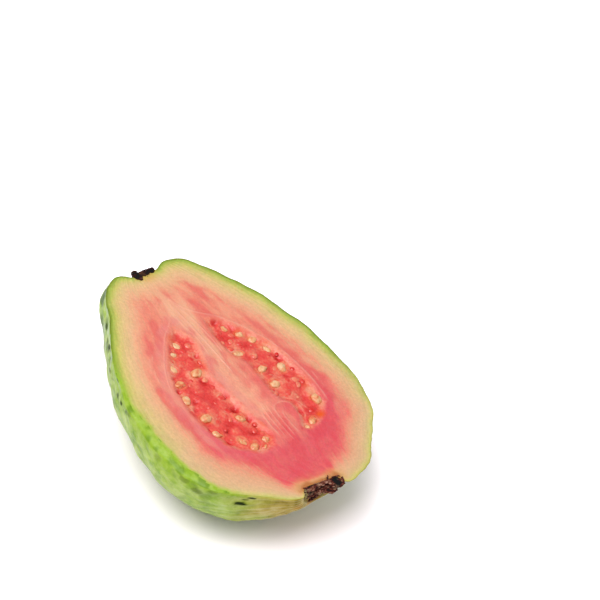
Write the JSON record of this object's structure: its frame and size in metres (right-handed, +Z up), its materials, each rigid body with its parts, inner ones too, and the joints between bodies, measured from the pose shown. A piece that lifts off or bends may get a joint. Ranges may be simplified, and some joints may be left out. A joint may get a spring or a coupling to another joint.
{
  "type": "guava half",
  "caption": "Lengthwise half of a ripe pink guava, lying on its skin with the cut face up: flesh, seed chambers with seeds, dry calyx and stem scar.",
  "frame": {"origin": "on the surface it rests on, below the middle of its bounding box", "axes": "+X from the stem scar towards the calyx, +Z up, +Y across the cut face to its lower side"},
  "size_m": [0.0906, 0.0744, 0.0335],
  "materials": {
    "guava_flesh_and_skin": "moist pink flesh on the cut face, glossy bumpy green skin elsewhere",
    "guava_skin": "waxy, finely wrinkled green rind",
    "guava_seed": "wet, hard cream seed",
    "dried_calyx": "dry, dull and ragged",
    "stem_cork": "dry, dull and crumbly"
  },
  "bodies": {
    "root": {"guava_half": "guava_flesh_and_skin", "dry_calyx": "dried_calyx", "stem_scar": "stem_cork"}
  },
  "joints": []
}
